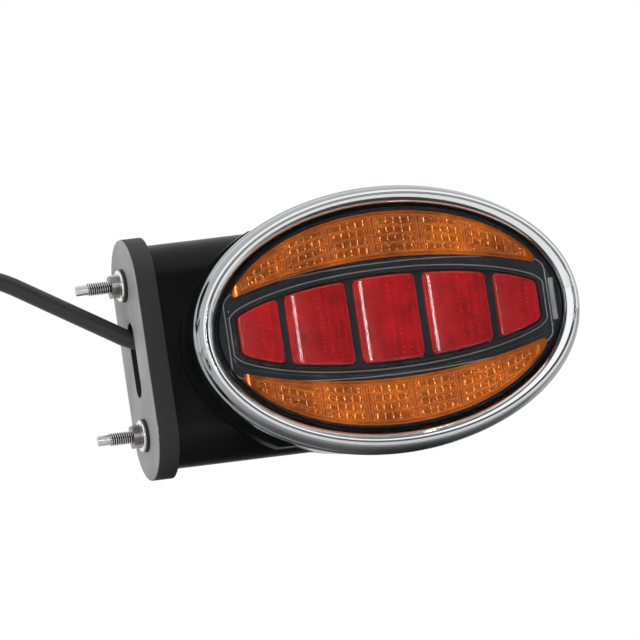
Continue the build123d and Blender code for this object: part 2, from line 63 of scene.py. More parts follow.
towards_camera = Vector((
    -math.sin(TURN_LEFT) * math.cos(LOOK_UP),
    -math.cos(TURN_LEFT) * math.cos(LOOK_UP),
    math.sin(LOOK_UP),
))
level_right = Vector((math.cos(TURN_LEFT), -math.sin(TURN_LEFT), 0.0))
level_up = level_right.cross(-towards_camera)
image_right = level_right * math.cos(ROLL) - level_up * math.sin(ROLL)
image_up = level_right * math.sin(ROLL) + level_up * math.cos(ROLL)
camera_data = bpy.data.cameras.new("camera")
camera_data.sensor_width = 36.0
camera_data.lens = DOTS_PER_METRE * DISTANCE / FRAME_DOTS * camera_data.sensor_width
camera_data.clip_end = 60.0
camera = bpy.data.objects.new("camera", camera_data)
bpy.context.scene.collection.objects.link(camera)
axes = Matrix((image_right, image_up, towards_camera)).transposed().to_4x4()
offset = -image_right * AIM_OFF_CENTRE[0] + image_up * AIM_OFF_CENTRE[1]
spot = AIM + offset / DOTS_PER_METRE + towards_camera * DISTANCE
camera.matrix_world = Matrix.Translation(spot) @ axes
bpy.context.scene.camera = camera
print("lens", round(camera_data.lens, 1), "mm")

# %% [markdown]
# ## Shader groups
# Most finishes of this lamp share two effects. Grain is the fine unevenness of moulded plastic and
# rubber, as a tone and a height. Scuff is a patchy mask, for wear and dust that sits in some places
# and not in others, and also for patches of painted shade in the coloured optics. Each is built
# once as a node group with named sockets.

# %% Grain and scuff-and-shade groups
def new_group(name, inputs, outputs):
    group = bpy.data.node_groups.new(name, "ShaderNodeTree")
    for label, kind, value in inputs:
        socket = group.interface.new_socket(label, in_out="INPUT", socket_type=kind)
        if value is not None:
            socket.default_value = value
    for label, kind in outputs:
        group.interface.new_socket(label, in_out="OUTPUT", socket_type=kind)
    start = group.nodes.new("NodeGroupInput")
    end = group.nodes.new("NodeGroupOutput")
    return group, start, end


def make_grain():
    group, start, end = new_group(
        "grain",
        [("Place", "NodeSocketVector", None), ("Scale", "NodeSocketFloat", 900.0)],
        [("Height", "NodeSocketFloat"), ("Tone", "NodeSocketFloat")],
    )
    nodes, links = group.nodes, group.links
    fine = nodes.new("ShaderNodeTexNoise")
    fine.inputs["Detail"].default_value = 3.0
    links.new(start.outputs["Place"], fine.inputs["Vector"])
    links.new(start.outputs["Scale"], fine.inputs["Scale"])
    broad = nodes.new("ShaderNodeTexNoise")
    broad.inputs["Scale"].default_value = 45.0
    broad.inputs["Detail"].default_value = 4.0
    links.new(start.outputs["Place"], broad.inputs["Vector"])
    tone = nodes.new("ShaderNodeMapRange")
    tone.inputs["From Min"].default_value = 0.3
    tone.inputs["From Max"].default_value = 0.7
    links.new(broad.outputs["Fac"], tone.inputs["Value"])
    links.new(fine.outputs["Fac"], end.inputs["Height"])
    links.new(tone.outputs["Result"], end.inputs["Tone"])
    return group


def make_scuff_and_shade():
    group, start, end = new_group(
        "scuff_and_shade",
        [("Place", "NodeSocketVector", None), ("Scale", "NodeSocketFloat", 60.0),
         ("Share", "NodeSocketFloat", 0.4)],
        [("Mask", "NodeSocketFloat")],
    )
    nodes, links = group.nodes, group.links
    patches = nodes.new("ShaderNodeTexNoise")
    patches.inputs["Detail"].default_value = 8.0
    patches.inputs["Roughness"].default_value = 0.7
    links.new(start.outputs["Place"], patches.inputs["Vector"])
    links.new(start.outputs["Scale"], patches.inputs["Scale"])
    low = nodes.new("ShaderNodeMath")
    low.operation = "SUBTRACT"
    low.inputs[0].default_value = 1.0
    links.new(start.outputs["Share"], low.inputs[1])
    cut = nodes.new("ShaderNodeMapRange")
    cut.inputs["From Max"].default_value = 0.9
    links.new(patches.outputs["Fac"], cut.inputs["Value"])
    links.new(low.outputs["Value"], cut.inputs["From Min"])
    links.new(cut.outputs["Result"], end.inputs["Mask"])
    return group


GRAIN = make_grain()
SCUFF_AND_SHADE = make_scuff_and_shade()
print("groups:", GRAIN.name, SCUFF_AND_SHADE.name)

# %% [markdown]
# ## A finish from its numbers
# Every finish starts from one Principled shader. Two tones of its colour are mixed by the grain,
# the roughness wanders a little, and the same grain gives the bump. Values that are the same all
# over the surface stay on the shader's own sockets.

# %% Finish helper
def tinted(colour, factor):
    return tuple(min(1.0, c * factor) for c in colour[:3]) + (1.0,)


def add(nodes, kind, **values):
    node = nodes.new(kind)
    for name, value in values.items():
        setattr(node, name, value)
    return node


def mixed(links, nodes, fac, one, two):
    """A colour mix of two fixed colours or sockets by a factor socket."""
    mix = add(nodes, "ShaderNodeMix", data_type="RGBA")
    for socket, value in ((mix.inputs[6], one), (mix.inputs[7], two)):
        if isinstance(value, tuple):
            socket.default_value = value
        else:
            links.new(value, socket)
    links.new(fac, mix.inputs[0])
    return mix.outputs[2]


def finish(name, colour, rough, dark=0.85, light=1.15, spread=0.06, grain=900.0, bump=0.05,
           depth=0.00004, **sockets):
    material = bpy.data.materials.new(name)
    material.use_nodes = True
    nodes, links = material.node_tree.nodes, material.node_tree.links
    shader = nodes["Principled BSDF"]
    place = add(nodes, "ShaderNodeTexCoord")
    group = add(nodes, "ShaderNodeGroup", node_tree=GRAIN, name="grain")
    group.inputs["Scale"].default_value = grain
    links.new(place.outputs["Object"], group.inputs["Place"])
    tone = group.outputs["Tone"]
    colours = mixed(links, nodes, tone, tinted(colour, dark), tinted(colour, light))
    links.new(colours, shader.inputs["Base Color"])
    roughness = add(nodes, "ShaderNodeMapRange")
    roughness.inputs["To Min"].default_value = max(0.0, rough - spread)
    roughness.inputs["To Max"].default_value = min(1.0, rough + spread)
    links.new(tone, roughness.inputs["Value"])
    links.new(roughness.outputs["Result"], shader.inputs["Roughness"])
    if bump:
        relief = add(nodes, "ShaderNodeBump")
        relief.inputs["Strength"].default_value = bump
        relief.inputs["Distance"].default_value = depth
        links.new(group.outputs["Height"], relief.inputs["Height"])
        links.new(relief.outputs["Normal"], shader.inputs["Normal"])
    for label, value in sockets.items():
        shader.inputs[label.replace("_", " ")].default_value = value
    return material


def parts_of(material):
    nodes = material.node_tree.nodes
    return nodes, material.node_tree.links, nodes["Principled BSDF"]


# %% [markdown]
# ## Plastics and rubber
# The arm and bowl are black moulded plastic, the arm with a satin grain and the bowl glossier. The
# pad is a dark rubber. Its mounting face, the one the left lamp lights, and the rounded edge beside
# it get paler tones as painted light, with a speckle of scuffs, so its colour is mixed by which way
# the surface faces.

# %% Plastics and rubber
ARM_BLACK = finish("arm_black", (0.006, 0.006, 0.0065), 0.33, bump=0.12, grain=1400.0,
                   Specular_IOR_Level=0.16)
BOWL_BLACK = finish("bowl_black", (0.006, 0.006, 0.0065), 0.16, bump=0.02)
RUBBER_BLACK = finish("rubber_black", (0.012, 0.012, 0.012), 0.55, bump=0.15)
CABLE_BLACK = finish("cable_black", (0.016, 0.016, 0.0165), 0.42, bump=0.1, grain=600.0)
SLATE = finish("slate_mask", (0.026, 0.033, 0.04), 0.16, bump=0.01)
FRAME_BLACK = finish("frame_black", (0.004, 0.004, 0.004), 0.08, bump=0.01)
# Painted highlight: a light grey for thin light lines along edges of the clear cover.
EDGE_HIGHLIGHT_GREY = finish("edge_grey_painted_highlight", (0.35, 0.37, 0.38), 0.15, bump=0.01)
GREY_PLASTIC = finish("grey_plastic", (0.2, 0.2, 0.21), 0.5)
WHITE_PLASTIC = finish("white_plastic", (0.8, 0.8, 0.79), 0.3)
BOARD_GREEN = finish("board_green", (0.02, 0.14, 0.05), 0.35)
TIE_BLACK = finish("tie_black", (0.02, 0.02, 0.02), 0.45)
LED_CREAM = finish("led_cream", (0.85, 0.78, 0.5), 0.25)


# Painted light: paler tones for the pad's face towards -X, which the left lamp lights, and for its
# rounded edge.
PAD_LIT_FACE_DARK = (0.24, 0.24, 0.24, 1.0)
PAD_LIT_FACE_LIGHT = (0.36, 0.36, 0.36, 1.0)
PAD_SPECK = (0.55, 0.55, 0.55, 1.0)


def make_pad_rubber():
    material = finish("pad_rubber", (0.02, 0.02, 0.0205), 0.6, bump=0.35, grain=1100.0,
                      depth=0.00008)
    nodes, links, shader = parts_of(material)
    grain = nodes["grain"]
    facing = add(nodes, "ShaderNodeNewGeometry")
    split = add(nodes, "ShaderNodeSeparateXYZ")
    links.new(facing.outputs["Normal"], split.inputs["Vector"])
    # Painted light: this mask picks the face towards -X and the rounded edge beside it for the
    # paler lit tones.
    lit_face_mask = add(nodes, "ShaderNodeMapRange")
    lit_face_mask.inputs["From Min"].default_value = -0.2
    lit_face_mask.inputs["From Max"].default_value = -0.6
    links.new(split.outputs["X"], lit_face_mask.inputs["Value"])
    lit_face_tones = mixed(links, nodes, grain.outputs["Tone"], PAD_LIT_FACE_DARK, PAD_LIT_FACE_LIGHT)
    before = shader.inputs["Base Color"].links[0].from_socket
    worn = add(nodes, "ShaderNodeGroup", node_tree=SCUFF_AND_SHADE)
    worn.inputs["Scale"].default_value = 420.0
    worn.inputs["Share"].default_value = 0.38
    place = next(node for node in nodes if node.bl_idname == "ShaderNodeTexCoord")
    links.new(place.outputs["Object"], worn.inputs["Place"])
    lit_face_with_specks = mixed(links, nodes, worn.outputs["Mask"], lit_face_tones, PAD_SPECK)
    colour = mixed(links, nodes, lit_face_mask.outputs["Result"], before, lit_face_with_specks)
    links.new(colour, shader.inputs["Base Color"])
    return material


PAD_RUBBER = make_pad_rubber()
print("rubber and plastics:", PAD_RUBBER.name, ARM_BLACK.name, BOWL_BLACK.name)

# %% [markdown]
# ## Metals
# The ring is bright chrome on plastic: almost no roughness, and a very faint unevenness so that
# long reflections waver a little. Studs and nuts are zinc plated, greyer and duller. Their tone is
# set by the distance from the stud's axis: painted shade in the thread roots and on the nut's
# hexagon, and a painted highlight on the thread crests and the nut's flange.

# %% Metals
CHROME = finish("chrome_ring", (0.86, 0.87, 0.89), 0.05, dark=0.97, light=1.02, spread=0.02,
                grain=60.0, bump=0.02, depth=0.0001, Metallic=1.0)
SATIN_CHROME = finish("satin_chrome", (0.92, 0.93, 0.94), 0.14, dark=0.97, light=1.02, spread=0.04,
                      grain=60.0, bump=0.02, depth=0.0001, Metallic=1.0)
# Painted shade: a darker copy of the chrome for the ring's outer wall and the groove in its crest.
SHADED_WALL_CHROME = finish("wall_chrome_painted_shade", (0.4, 0.41, 0.43), 0.1, dark=0.95, light=1.05, spread=0.03,
                     grain=60.0, bump=0.02, depth=0.0001, Metallic=1.0)
ZINC = finish("zinc_plate", (0.6, 0.6, 0.62), 0.27, spread=0.1, grain=1500.0, bump=0.08,
              Metallic=1.0)
STUD_SPACING = 0.068
# Painted shade and highlight: darker zinc in the thread roots and on the nut's hexagon, paler zinc
# on the thread crests and the flange.
THREAD_ROOT_SHADE_ZINC = (0.05, 0.05, 0.052, 1.0)
NUT_HEX_SHADE_ZINC = (0.2, 0.19, 0.185, 1.0)
HIGHLIGHT_ZINC = (0.85, 0.85, 0.86, 1.0)
THREAD_SHADE_FADE = (0.00255, 0.00295)
NUT_SHADE_FADE = (0.0052, 0.0058)


def shaded_zinc_around_stud(name, near, far, radius_near, radius_far):
    """Zinc whose tone changes with the distance from the nearer stud's axis: painted shade nearer
    it, a painted highlight further out.
    """
    material = finish(name, (0.6, 0.6, 0.62), 0.22, spread=0.08, grain=1500.0, bump=0.05,
                      Metallic=1.0)
    nodes, links, shader = parts_of(material)
    split = add(nodes, "ShaderNodeSeparateXYZ")
    place = next(node for node in nodes if node.bl_idname == "ShaderNodeTexCoord")
    links.new(place.outputs["Object"], split.inputs["Vector"])
    up = calculated(nodes, links, "ABSOLUTE", split.outputs["Z"])
    up = calculated(nodes, links, "SUBTRACT", up, STUD_SPACING / 2)
    up = calculated(nodes, links, "MULTIPLY", up, up)
    out = calculated(nodes, links, "MULTIPLY", split.outputs["Y"], split.outputs["Y"])
    reach = calculated(nodes, links, "SQRT", calculated(nodes, links, "ADD", up, out))
    share = add(nodes, "ShaderNodeMapRange")
    share.inputs["From Min"].default_value = radius_near
    share.inputs["From Max"].default_value = radius_far
    links.new(reach, share.inputs["Value"])
    tones = mixed(links, nodes, share.outputs["Result"], near, far)
    links.new(tones, shader.inputs["Base Color"])
    return material


def calculated(nodes, links, operation, *values):
    node = add(nodes, "ShaderNodeMath", operation=operation)
    for socket, value in zip(node.inputs, values):
        if isinstance(value, float):
            socket.default_value = value
        else:
            links.new(value, socket)
    return node.outputs["Value"]


SHADED_THREAD_ZINC = shaded_zinc_around_stud("thread_zinc_painted_shade", THREAD_ROOT_SHADE_ZINC, HIGHLIGHT_ZINC, *THREAD_SHADE_FADE)
SHADED_NUT_ZINC = shaded_zinc_around_stud("nut_zinc_painted_shade", NUT_HEX_SHADE_ZINC, HIGHLIGHT_ZINC, *NUT_SHADE_FADE)
print("metals:", CHROME.name, ZINC.name, SHADED_THREAD_ZINC.name, SHADED_NUT_ZINC.name)

# %% [markdown]
# ## Clear and coloured lens plastic
# The cover is clear polycarbonate. A plain glass shader keeps light from reaching what is under it,
# so shadow rays see it as open. The red and amber optics are coloured plastic over bright reflector
# facets, and their relief is modelled. The amber takes a metal share, which turns its tilted facets
# into coloured glints. The red takes none and gets a clear coat instead. Both have darker patches.

# %% Clear cover
def make_clear():
    material = finish("clear_cover", (1.0, 1.0, 1.0), 0.01, dark=0.98, light=1.0, spread=0.008,
                      bump=0.0, IOR=1.49)
    nodes, links, shader = parts_of(material)
    shader.inputs["Transmission Weight"].default_value = 1.0
    path = add(nodes, "ShaderNodeLightPath")
    open_to_light = add(nodes, "ShaderNodeBsdfTransparent")
    blend = add(nodes, "ShaderNodeMixShader")
    links.new(path.outputs["Is Shadow Ray"], blend.inputs["Fac"])
    links.new(shader.outputs["BSDF"], blend.inputs[1])
    links.new(open_to_light.outputs["BSDF"], blend.inputs[2])
    links.new(blend.outputs["Shader"], nodes["Material Output"].inputs["Surface"])
    return material


CLEAR = make_clear()
RED = finish("red_optic", (0.66, 0.006, 0.01), 0.3, dark=0.75, light=1.15, grain=500.0, bump=0.05,
             Metallic=0.0, Specular_IOR_Level=0.1, Coat_Weight=1.0, Coat_Roughness=0.02)
AMBER = finish("amber_optic", (0.95, 0.2, 0.002), 0.2, dark=0.5, light=1.2, grain=500.0,
               bump=0.05, Metallic=0.5, Coat_Weight=0.4, Coat_Roughness=0.04)


def deepen(material, scale, share, stretch, factor):
    """Darker patches where less light comes back from behind a coloured optic."""
    nodes, links, shader = parts_of(material)
    place = next(node for node in nodes if node.bl_idname == "ShaderNodeTexCoord")
    drawn = add(nodes, "ShaderNodeVectorMath", operation="MULTIPLY")
    drawn.inputs[1].default_value = stretch
    links.new(place.outputs["Object"], drawn.inputs[0])
    patches = add(nodes, "ShaderNodeGroup", node_tree=SCUFF_AND_SHADE)
    patches.inputs["Scale"].default_value = scale
    patches.inputs["Share"].default_value = share
    links.new(drawn.outputs["Vector"], patches.inputs["Place"])
    before = shader.inputs["Base Color"].links[0].from_socket
    darker = add(nodes, "ShaderNodeMix", data_type="RGBA", blend_type="MULTIPLY")
    darker.inputs[7].default_value = (*factor, 1.0)
    links.new(patches.outputs["Mask"], darker.inputs[0])
    links.new(before, darker.inputs[6])
    links.new(darker.outputs[2], shader.inputs["Base Color"])


# Painted shade: darker patches in the red and amber optics.
deepen(RED, scale=150.0, share=0.62, stretch=(2.0, 1.0, 0.8), factor=(0.3, 0.25, 0.25))
deepen(AMBER, scale=110.0, share=0.6, stretch=(1.0, 1.0, 1.6), factor=(0.35, 0.22, 0.2))
print("lens plastics:", CLEAR.name, RED.name, AMBER.name)

# %% [markdown]
# ## From a bmesh to a piece
# Each new shape ends the same way: it becomes an object at the origin, gets its finish, is smooth
# except along edges sharper than a given angle, and rides on its body.

# %% Piece helpers
def piece(name, shape, material, stands_for=(), body="lamp", crease=35.0):
    mesh = bpy.data.meshes.new(name)
    shape.to_mesh(mesh)
    shape.free()
    mesh.polygons.foreach_set("use_smooth", [True] * len(mesh.polygons))
    mesh.set_sharp_from_angle(angle=math.radians(crease))
    item = bpy.data.objects.new(name, mesh)
    bpy.context.scene.collection.objects.link(item)
    mesh.materials.append(material)
    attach(item, body)
    if stands_for:
        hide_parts(*stands_for)
    return item


def joined_copy(node):
    """The CAD node as one connected shape."""
    shape = bmesh.new()
    shape.from_mesh(NODES[node].data)
    bmesh.ops.remove_doubles(shape, verts=shape.verts, dist=0.002 * MM)
    return shape


def soften(item, width, segments=3, angle=35.0):
    """Rounds the sharp edges with a bevel."""
    bevel = item.modifiers.new("rounded edges", "BEVEL")
    bevel.width = width
    bevel.segments = segments
    bevel.limit_method = "ANGLE"
    bevel.angle_limit = math.radians(angle)
    bevel.use_clamp_overlap = True
    even = item.modifiers.new("even shading", "WEIGHTED_NORMAL")
    even.weight = 90
    even.keep_sharp = True
    return item


def moulded(node, material, edge, body="lamp", angle=35.0):
    item = piece(node + "_part", joined_copy(node), material, (node,), body)
    return soften(item, edge * MM, angle=angle)


PLAIN_FINISHES = {
    "lens_seal": RUBBER_BLACK,
    "mask": SLATE,
    "reflector_tray": WHITE_PLASTIC,
    "circuit_board": BOARD_GREEN,
    "leds_red": LED_CREAM,
    "leds_amber": LED_CREAM,
    "board_screws": ZINC,
    "arm_screws": ZINC,
    "cable_grommet": RUBBER_BLACK,
    "junction_block": GREY_PLASTIC,
    "inner_cores": GREY_PLASTIC,
    "coil_tie": TIE_BLACK,
    "vent_plug": RUBBER_BLACK,
}
for node, material in PLAIN_FINISHES.items():
    NODES[node].data.materials.clear()
    NODES[node].data.materials.append(material)
print("CAD nodes that keep their shape:", len(PLAIN_FINISHES))

# %% [markdown]
# ## Pad, arm and bowl
# These mouldings are right as the CAD gives them, apart from their dead sharp edges. A real mould
# leaves a small radius, which is what catches the light, so a joined copy gets a bevel.

# %% Mouldings
moulded("mounting_pad", PAD_RUBBER, 0.45)
moulded("arm", ARM_BLACK, 0.5)
moulded("bowl", BOWL_BLACK, 0.4)
moulded("outer_lens", CLEAR, 0.35)
print("mouldings: pad, arm, bowl and cover")

# %% [markdown]
# ## Ring
# The ring is one section carried round an oval. A circle of points is stretched to the oval, and
# its loop is extruded from one place of the section to the next until the section closes. The outer
# wall leans in, a fine step runs round it, the crest is rounded, and the inner slope is hollow. The
# wall and the groove in the crest get a darker chrome than the crest, a painted shade for the dark
# they reflect, and the slope a slightly duller one.

# %% Ring
LAMP_X = 106.3 * MM
RIM_Y = -40.0 * MM
HALF_LENGTH = 89.3 * MM
HALF_HEIGHT = 59.9 * MM
TO_LAMP = Matrix.Translation((LAMP_X, RIM_Y, 0.0)) @ Matrix.Rotation(math.radians(90.0), 4, "X")
AROUND = 256


def oval_matrix(inset, height):
    stretch = Matrix.Diagonal((HALF_LENGTH - inset * MM, HALF_HEIGHT - inset * MM, 1.0, 1.0))
    return TO_LAMP @ Matrix.Translation((0.0, 0.0, height * MM)) @ stretch


def oval_section(shape, places, bands):
    """Carries an oval loop through (inset, height) places and closes it; one finish per band."""
    stops = [oval_matrix(*place) for place in places]
    made = bmesh.ops.create_circle(shape, cap_ends=False, segments=AROUND, radius=1.0,
                                   matrix=stops[0])
    loop = list({edge for vert in made["verts"] for edge in vert.link_edges})
    for band, (before, after) in enumerate(zip(stops, stops[1:] + stops[:1])):
        grown = bmesh.ops.extrude_edge_only(shape, edges=loop)["geom"]
        verts = {item for item in grown if isinstance(item, bmesh.types.BMVert)}
        loop = [item for item in grown
                if isinstance(item, bmesh.types.BMEdge) and set(item.verts) <= verts]
        bmesh.ops.transform(shape, matrix=after @ before.inverted(), verts=list(verts))
        for item in grown:
            if isinstance(item, bmesh.types.BMFace):
                item.material_index = bands[band]
    bmesh.ops.remove_doubles(shape, verts=shape.verts, dist=0.001 * MM)


OUTER_WALL = [(0.0, 0.0), (0.0, 2.6), (0.03, 5.1), (0.12, 5.35), (0.4, 5.45), (0.52, 5.6),
              (0.8, 7.6), (1.15, 9.4), (1.5, 10.5), (2.1, 11.6)]
CREST = [(2.9, 12.4), (3.7, 12.85), (4.1, 12.95)]
CREST_GROOVE = [(4.25, 12.9), (4.3, 12.5), (4.6, 12.45), (4.65, 12.85)]
INNER_SLOPE = [(4.85, 12.85), (5.1, 12.75), (5.6, 12.45), (6.4, 11.9), (7.3, 11.2), (8.0, 10.6),
               (8.35, 10.1), (8.5, 9.4), (8.6, 7.2)]
UNDERSIDE = [(8.6, 2.3), (2.3, 2.25), (2.3, 0.0)]
BRIGHT_SLOT, SATIN_SLOT, SHADED_WALL_SLOT = 0, 1, 2


def make_ring():
    shape = bmesh.new()
    stretches = (
        (OUTER_WALL, SHADED_WALL_SLOT), (CREST, BRIGHT_SLOT), (CREST_GROOVE, SHADED_WALL_SLOT),
        (INNER_SLOPE, SATIN_SLOT), (UNDERSIDE, BRIGHT_SLOT),
    )
    places = [place for stretch, _ in stretches for place in stretch]
    bands = [chosen for stretch, chosen in stretches for _ in stretch]
    oval_section(shape, places, bands)
    bmesh.ops.recalc_face_normals(shape, faces=shape.faces)
    item = piece("chrome_bezel", shape, CHROME, ("bezel",), crease=40.0)
    item.data.materials.append(SATIN_CHROME)
    item.data.materials.append(SHADED_WALL_CHROME)
    return item


ring = make_ring()
print("ring faces:", len(ring.data.polygons))

# %% [markdown]
# ## Optics under the cover
# A red block is a window of the row, bounded above and below by a shallow oval, and its face bulges
# about an upright axis. A flat grid is bent onto that outline point by point, so the relief keeps
# its fineness and the edge stays clean. The relief is fine level ribs, with columns of small
# lenses on one half. The border loop is then extruded back to give the block its walls.

# %% Grid onto an outline
WALL_FOOT = 3.0


def relief(across, along, outline, height):
    """A grid of unit squares moved onto an outline, with its walls extruded back from the face."""
    shape = bmesh.new()
    bmesh.ops.create_grid(shape, x_segments=across, y_segments=along, size=1.0)
    for vert in shape.verts:
        x, y = outline(vert.co.x, vert.co.y)
        edge = 1.0 - max(abs(vert.co.x), abs(vert.co.y))
        vert.co = Vector((x, y, height(x, y, vert.co.x, vert.co.y, edge))) * MM
    rim = [e for e in shape.edges if e.is_boundary]
    made = bmesh.ops.extrude_edge_only(shape, edges=rim)
    back = [v for v in made["geom"] if isinstance(v, bmesh.types.BMVert)]
    for vert in back:
        vert.co.z = WALL_FOOT * MM
    floor = [e for e in made["geom"] if isinstance(e, bmesh.types.BMEdge) and e.is_boundary]
    bmesh.ops.contextual_create(shape, geom=floor)
    bmesh.ops.recalc_face_normals(shape, faces=shape.faces)
    bmesh.ops.transform(shape, matrix=TO_LAMP, verts=shape.verts)
    return shape


print("walls go back to", WALL_FOOT, "mm above the rim")

# %% Red blocks
BLOCK_TOP = 9.0
BLOCK_BEND = 66.0
BLOCK_CURVE = (77.0, 19.2)
BLOCK_SPANS = [(-69.3, -49.9), (-46.7, -17.7), (-14.5, 14.5), (17.7, 46.7), (49.9, 69.3)]
RIB_PITCH = 1.0
CORNER = 2.5
BLOCK_HALF_HEIGHT = 18.0


def rounded_square(s, t, half_x, half_y, corner):
    """Pulls a grid place near a corner in, so that the outline has round corners."""
    over_x = max(0.0, abs(s) * half_x - (half_x - corner))
    over_y = max(0.0, abs(t) * half_y - (half_y - corner))
    reach = math.hypot(over_x, over_y)
    largest = max(over_x, over_y)
    pull = largest / reach if reach > 0.0 else 1.0
    x = math.copysign(abs(s) * half_x - over_x + over_x * pull, s)
    y = math.copysign(abs(t) * half_y - over_y + over_y * pull, t)
    return x, y


def ridge(distance, half_width):
    """One at the middle of a ridge, falling straight to nothing at its foot."""
    return max(0.0, 1.0 - abs(distance) / half_width)


def red_face(span):
    x0, x1 = span
    middle, half = (x0 + x1) / 2, (x1 - x0) / 2
    wide, high = BLOCK_CURVE

    def outline(s, t):
        x, y = rounded_square(s, t, half, BLOCK_HALF_HEIGHT, CORNER)
        top = high * math.sqrt(1.0 - ((x + middle) / wide) ** 2)
        return x + middle, y / BLOCK_HALF_HEIGHT * top

    def height(x, y, s, t, edge):
        round_over = (x - middle) ** 2 / (2.0 * BLOCK_BEND)
        lip = min(1.0, edge / 0.06)
        rib = 0.5 - 0.5 * math.cos(2 * math.pi * y / RIB_PITCH)
        right = min(1.0, max(0.0, (s + 0.15) / 0.1))
        column = ridge((x - middle + 1.2) % 3.6 - 1.8, 0.6)
        dots = ridge((y % 2.2) - 1.1, 0.7)
        fine = 0.03 * rib * (1.0 - right) + 0.16 * column * dots * right
        return BLOCK_TOP - round_over - 0.5 * (1.0 - lip) ** 2 - lip * fine

    return outline, height


for number, span in enumerate(BLOCK_SPANS, 1):
    outline, height = red_face(span)
    columns = max(36, round((span[1] - span[0]) * 2.6))
    shape = relief(columns, 190, outline, height)
    piece(f"red_optic_{number}", shape, RED, (f"red_block_{number}",), crease=50.0)
print("red optics:", len(BLOCK_SPANS))

# %% [markdown]
# ## Frame round the row
# A glossy black bead frames the row of blocks on the mask, a finer grey one follows it outside, and
# another marks the foot of the cover's raised band. The two grey ones are painted highlight: thin
# light lines along edges of the clear cover. Each is a tube along a closed outline: two
# shallow curves with round corners between them.

# %% Frame round the row
MASK_TOP = 6.6
ROW_END = 69.3
BEAD_STEPS = 160


def square_walk(steps):
    """Places along the edge of a square of side two, once round."""
    runs = [2.0 * step / steps - 1.0 for step in range(steps)]
    sides = [(run, -1.0) for run in runs], [(1.0, run) for run in runs]
    half = [*sides[0], *sides[1]]
    return half + [(-s, -t) for s, t in half]


def bead(name, half_length, curve, corner, height, radius, material):
    wide, high = curve
    line = bpy.data.curves.new(name, "CURVE")
    line.dimensions = "3D"
    spline = line.splines.new("POLY")
    walk = square_walk(BEAD_STEPS)
    spline.points.add(len(walk) - 1)
    for point, (s, t) in zip(spline.points, walk):
        x, y = rounded_square(s, t, half_length, high, corner)
        y *= math.sqrt(1.0 - (x / wide) ** 2)
        point.co = (*(TO_LAMP @ (Vector((x, y, height)) * MM)), 1.0)
    spline.use_cyclic_u = True
    line.bevel_depth = radius * MM
    line.bevel_resolution = 3
    line.materials.append(material)
    item = bpy.data.objects.new(name, line)
    bpy.context.scene.collection.objects.link(item)
    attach(item, "lamp")
    return item


# Each line: length past the row, curve, corner, height over the mask, radius, finish, slot.
BEADS = {
    "row_frame": (1.7, (79.0, 20.9), 4.0, 0.9, 0.95, FRAME_BLACK, "mask_plastic"),
    "row_bead": (3.3, (80.8, 22.4), 5.0, 0.3, 0.3, EDGE_HIGHLIGHT_GREY, "clear_lens"),
    "band_foot": (5.0, (108.0, 25.2), 6.0, 0.2, 0.25, EDGE_HIGHLIGHT_GREY, "clear_lens"),
}
for name, (past, curve, corner, lift, radius, material, slot) in BEADS.items():
    bead(name, ROW_END + past, curve, corner, MASK_TOP + lift, radius, material)

PRISM_SIZE = (2.4, 19.0, 1.7)
PRISM_PAST_ROW = 6.9
PRISM_LIFT = 0.8


def end_prism():
    """The clear upright bar at the row's outer end, drawn in the light grey of painted highlight.
    """
    shape = bmesh.new()
    place = Matrix.Translation(Vector((ROW_END + PRISM_PAST_ROW, 0.0, MASK_TOP + PRISM_LIFT)) * MM)
    size = Matrix.Diagonal((*(side * MM for side in PRISM_SIZE), 1.0))
    made = bmesh.ops.create_cube(shape, size=1.0, matrix=TO_LAMP @ place @ size)
    edges = list({edge for vert in made["verts"] for edge in vert.link_edges})
    bmesh.ops.bevel(shape, geom=edges, offset=0.5 * MM, segments=3, affect="EDGES", profile=0.5,
                    material=-1)
    return piece("end_prism", shape, EDGE_HIGHLIGHT_GREY)


end_prism()
print("beads: frame, fine bead and band foot")

# %% [markdown]
# ## Amber crescents
# The same grid is bent between the lamp's oval and a shallow arc. Its relief follows the arc: three
# rows of short level prisms, thin upright lines between them, and a cluster of stronger upright
# flutes in front of each light source.

# %% Amber crescents
AMBER_TOP = 9.6
ARC_RADIUS = 248.0
ARC_TOP = 27.0
AMBER_REACH = 70.0
AMBER_INSET = 12.0
SOURCE_PITCH = 21.0
CELL = 3.5
ROW = 4.0


def lower_arc(x):
    return ARC_TOP - ARC_RADIUS + math.sqrt(ARC_RADIUS**2 - x**2)


def upper_oval(x):
    wide = HALF_LENGTH / MM - AMBER_INSET
    return (HALF_HEIGHT / MM - AMBER_INSET) * math.sqrt(1.0 - (x / wide) ** 2)


def amber_outline(side):
    def outline(s, t):
        x, y = rounded_square(s, t, AMBER_REACH, 1.7, 1.3)
        low, high = lower_arc(x), upper_oval(x)
        return x, side * ((low + high) / 2 + y / 1.7 * (high - low) / 2)

    return outline


